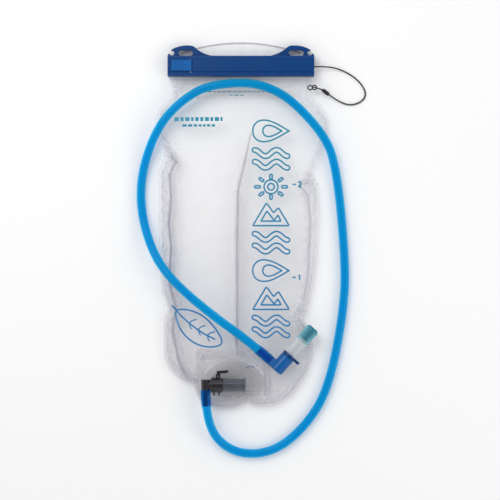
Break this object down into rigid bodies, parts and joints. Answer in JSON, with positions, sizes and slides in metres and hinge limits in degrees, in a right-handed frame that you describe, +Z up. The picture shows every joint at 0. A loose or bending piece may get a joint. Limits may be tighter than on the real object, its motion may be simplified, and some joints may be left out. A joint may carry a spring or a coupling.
{
  "type": "hydration bladder",
  "caption": "Clear film hydration reservoir lying flat, with a slide-on closure bar and tether, a quick-release outlet port, a blue drinking hose and a bite valve with a shut-off.",
  "frame": {"origin": "on the ground under the middle of the bladder, without its hose, bite valve and tether", "axes": "+X across the bladder towards the tether's side, +Y from the base to the closure, +Z up, out of the printed face"},
  "size_m": [0.2536, 0.4592, 0.0311],
  "materials": {
    "clear_film": "clear welded film, glossy",
    "zip_polymer": "clear extruded zip rails",
    "navy_nylon": "moulded, fine satin grain",
    "blue_latch": "moulded, ribbed, satin",
    "steel_pin": "drawn",
    "black_cord": "braided",
    "black_plastic": "moulded, satin",
    "clear_flange": "clear, moulded",
    "smoked_socket": "smoked translucent, moulded",
    "spring_steel": "drawn",
    "seal_rubber": "moulded, matt",
    "blue_hose": "translucent blue, extruded, glossy",
    "blue_valve": "moulded, glossy",
    "frosted_stem": "frosted, moulded",
    "teal_silicone": "moulded silicone, satin",
    "clear_silicone": "clear silicone"
  },
  "bodies": {
    "root": {"film_front": "clear_film", "film_back": "clear_film", "hang_flap": "clear_film", "zip_rail_front": "zip_polymer", "zip_rail_back": "zip_polymer", "port_flange": "clear_flange", "port_socket": "smoked_socket", "port_end_cap": "black_plastic", "port_collar": "black_plastic", "lever_pin": "steel_pin", "lever_spring": "spring_steel", "poppet_spring": "spring_steel", "hose": "blue_hose", "valve_housing": "blue_valve"},
    "slider": {"slider_body": "navy_nylon", "latch_pin": "steel_pin", "lanyard_cord": "black_cord", "lanyard_knot": "black_cord", "lanyard_bead": "black_plastic", "lanyard_loop": "black_cord", "lanyard_clip": "black_plastic"},
    "latch": {"slider_latch": "blue_latch"},
    "poppet": {"port_poppet": "clear_flange"},
    "lever": {"release_lever": "black_plastic"},
    "connector": {"hose_elbow": "black_plastic", "elbow_o_rings": "seal_rubber"},
    "shutoff": {"shutoff_rotor": "blue_valve", "rotor_o_rings": "seal_rubber"},
    "mouthpiece": {"mouth_stem": "frosted_stem", "mouth_insert": "teal_silicone", "bite_sleeve": "clear_silicone"}
  },
  "joints": [
    {"name": "slider_slide", "type": "slide", "parent": "root", "child": "slider", "axis": [1, 0, 0], "range_m": [0, 0.165]},
    {"name": "latch_press", "type": "hinge", "parent": "slider", "child": "latch", "pos_m": [-0.0571, 0.1757, 0.0128], "axis": [0, -1, 0], "range_deg": [0, 2.9], "stiffness_Nm_per_rad": 0.4},
    {"name": "poppet_slide", "type": "slide", "parent": "root", "child": "poppet", "axis": [1, 0, 0], "range_m": [0, 0.0015], "stiffness_N_per_m": 200, "deforming": ["poppet_spring"]},
    {"name": "lever_press", "type": "hinge", "parent": "root", "child": "lever", "pos_m": [-0.027, -0.1648, 0.0184], "axis": [0, 0, -1], "range_deg": [0, 10], "stiffness_Nm_per_rad": 0.05, "deforming": ["lever_spring"]},
    {"name": "connector_pull", "type": "slide", "parent": "root", "child": "connector", "axis": [-1, 0, 0], "range_m": [0, 0.026], "deforming": ["hose"]},
    {"name": "shutoff_turn", "type": "hinge", "parent": "root", "child": "shutoff", "pos_m": [0.0428, -0.1515, 0.0154], "axis": [-0.6691, -0.7431, 0], "range_deg": [0, 90]},
    {"name": "mouthpiece_swivel", "type": "hinge", "parent": "shutoff", "child": "mouthpiece", "pos_m": [0.0428, -0.1515, 0.0154], "axis": [0.6691, 0.7431, 0], "continuous": true}
  ]
}
